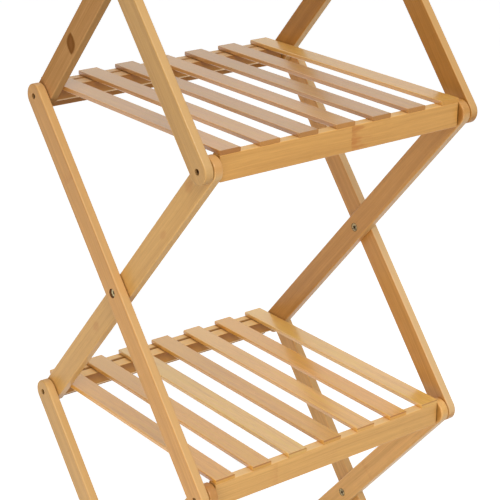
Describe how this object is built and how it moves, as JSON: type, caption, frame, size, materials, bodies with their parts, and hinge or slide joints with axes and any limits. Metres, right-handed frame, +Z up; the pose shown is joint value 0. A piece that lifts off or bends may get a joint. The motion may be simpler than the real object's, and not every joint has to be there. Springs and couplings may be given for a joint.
{
  "type": "folding slatted shelf",
  "caption": "Free-standing folding shelf with crossed side strips and slatted panels that hook over back bars; panels lift and the crosses fold flat.",
  "frame": {"origin": "on the floor, in the middle of the open shelf's outline seen from above", "axes": "+X along the rails to the right, +Y from the front to the back, +Z up"},
  "size_m": [0.335, 0.314, 1.0291],
  "materials": {
    "slat_bamboo": "satin lacquered bamboo, fine grain along the slat",
    "rail_bamboo": "satin lacquered bamboo",
    "strip_bamboo": "satin lacquered bamboo",
    "steel": "zinc plated"
  },
  "bodies": {
    "back_foot": {"foot_bar_back": "rail_bamboo", "foot_screws_back": "steel"},
    "inner_cross_1": {"inner_left_1": "strip_bamboo", "inner_right_1": "strip_bamboo", "cross_rivets_1": "steel"},
    "outer_cross_1": {"outer_left_1": "strip_bamboo", "outer_right_1": "strip_bamboo", "foot_bar_front": "rail_bamboo", "foot_screws_front": "steel"},
    "front_pivot_1": {"front_screws_1": "steel"},
    "panel_1": {"front_rail_1": "rail_bamboo", "hook_rail_1": "rail_bamboo", "slat_1_1": "slat_bamboo", "slat_1_2": "slat_bamboo", "slat_1_3": "slat_bamboo", "slat_1_4": "slat_bamboo", "slat_1_5": "slat_bamboo", "slat_1_6": "slat_bamboo", "slat_1_7": "slat_bamboo"},
    "back_tie_1": {"back_bar_1": "rail_bamboo", "back_screws_1": "steel"},
    "inner_cross_2": {"inner_left_2": "strip_bamboo", "inner_right_2": "strip_bamboo", "cross_rivets_2": "steel"},
    "outer_cross_2": {"outer_left_2": "strip_bamboo", "outer_right_2": "strip_bamboo"},
    "front_pivot_2": {"front_screws_2": "steel"},
    "panel_2": {"front_rail_2": "rail_bamboo", "hook_rail_2": "rail_bamboo", "slat_2_1": "slat_bamboo", "slat_2_2": "slat_bamboo", "slat_2_3": "slat_bamboo", "slat_2_4": "slat_bamboo", "slat_2_5": "slat_bamboo", "slat_2_6": "slat_bamboo", "slat_2_7": "slat_bamboo"},
    "back_tie_2": {"back_bar_2": "rail_bamboo", "back_screws_2": "steel"},
    "inner_cross_3": {"inner_left_3": "strip_bamboo", "inner_right_3": "strip_bamboo", "cross_rivets_3": "steel"},
    "outer_cross_3": {"outer_left_3": "strip_bamboo", "outer_right_3": "strip_bamboo"},
    "front_pivot_3": {"front_screws_3": "steel"},
    "panel_3": {"front_rail_3": "rail_bamboo", "hook_rail_3": "rail_bamboo", "slat_3_1": "slat_bamboo", "slat_3_2": "slat_bamboo", "slat_3_3": "slat_bamboo", "slat_3_4": "slat_bamboo", "slat_3_5": "slat_bamboo", "slat_3_6": "slat_bamboo", "slat_3_7": "slat_bamboo"},
    "back_tie_3": {"back_bar_3": "rail_bamboo", "back_screws_3": "steel"}
  },
  "joints": [
    {"name": "fold", "type": "hinge", "parent": "back_foot", "child": "inner_cross_1", "pos_m": [0, 0.13675, 0.01275], "axis": [-1, 0, 0], "range_deg": [0, 36]},
    {"name": "cross_1", "type": "hinge", "parent": "inner_cross_1", "child": "outer_cross_1", "pos_m": [0, -0.00375, 0.17925], "axis": [1, 0, 0], "range_deg": [0, 72]},
    {"name": "front_level_1", "type": "hinge", "parent": "inner_cross_1", "child": "front_pivot_1", "pos_m": [0, -0.14425, 0.34575], "axis": [1, 0, 0], "range_deg": [0, 36]},
    {"name": "lift_1", "type": "hinge", "parent": "front_pivot_1", "child": "panel_1", "pos_m": [0, -0.14425, 0.34575], "axis": [1, 0, 0], "range_deg": [0, 90]},
    {"name": "back_level_1", "type": "hinge", "parent": "outer_cross_1", "child": "back_tie_1", "pos_m": [0, 0.13675, 0.34575], "axis": [-1, 0, 0], "range_deg": [0, 36]},
    {"name": "front_1", "type": "hinge", "parent": "inner_cross_1", "child": "outer_cross_2", "pos_m": [0, -0.14425, 0.34575], "axis": [1, 0, 0], "range_deg": [0, 72]},
    {"name": "cross_2", "type": "hinge", "parent": "outer_cross_2", "child": "inner_cross_2", "pos_m": [0, -0.00375, 0.51225], "axis": [-1, 0, 0], "range_deg": [0, 72]},
    {"name": "front_level_2", "type": "hinge", "parent": "inner_cross_2", "child": "front_pivot_2", "pos_m": [0, -0.14425, 0.67875], "axis": [1, 0, 0], "range_deg": [0, 36]},
    {"name": "lift_2", "type": "hinge", "parent": "front_pivot_2", "child": "panel_2", "pos_m": [0, -0.14425, 0.67875], "axis": [1, 0, 0], "range_deg": [0, 90]},
    {"name": "back_level_2", "type": "hinge", "parent": "outer_cross_2", "child": "back_tie_2", "pos_m": [0, 0.13675, 0.67875], "axis": [-1, 0, 0], "range_deg": [0, 36]},
    {"name": "front_2", "type": "hinge", "parent": "inner_cross_2", "child": "outer_cross_3", "pos_m": [0, -0.14425, 0.67875], "axis": [1, 0, 0], "range_deg": [0, 72]},
    {"name": "cross_3", "type": "hinge", "parent": "outer_cross_3", "child": "inner_cross_3", "pos_m": [0, -0.00375, 0.84525], "axis": [-1, 0, 0], "range_deg": [0, 72]},
    {"name": "front_level_3", "type": "hinge", "parent": "inner_cross_3", "child": "front_pivot_3", "pos_m": [0, -0.14425, 1.01175], "axis": [1, 0, 0], "range_deg": [0, 36]},
    {"name": "lift_3", "type": "hinge", "parent": "front_pivot_3", "child": "panel_3", "pos_m": [0, -0.14425, 1.01175], "axis": [1, 0, 0], "range_deg": [0, 90]},
    {"name": "back_level_3", "type": "hinge", "parent": "outer_cross_3", "child": "back_tie_3", "pos_m": [0, 0.13675, 1.01175], "axis": [-1, 0, 0], "range_deg": [0, 36]}
  ],
  "couplings": [
    {"joint": "cross_1", "follows": "fold", "ratio": 2},
    {"joint": "front_level_1", "follows": "fold", "ratio": 1},
    {"joint": "back_level_1", "follows": "fold", "ratio": 1},
    {"joint": "front_1", "follows": "fold", "ratio": 2},
    {"joint": "cross_2", "follows": "fold", "ratio": 2},
    {"joint": "front_level_2", "follows": "fold", "ratio": 1},
    {"joint": "back_level_2", "follows": "fold", "ratio": 1},
    {"joint": "front_2", "follows": "fold", "ratio": 2},
    {"joint": "cross_3", "follows": "fold", "ratio": 2},
    {"joint": "front_level_3", "follows": "fold", "ratio": 1},
    {"joint": "back_level_3", "follows": "fold", "ratio": 1}
  ]
}
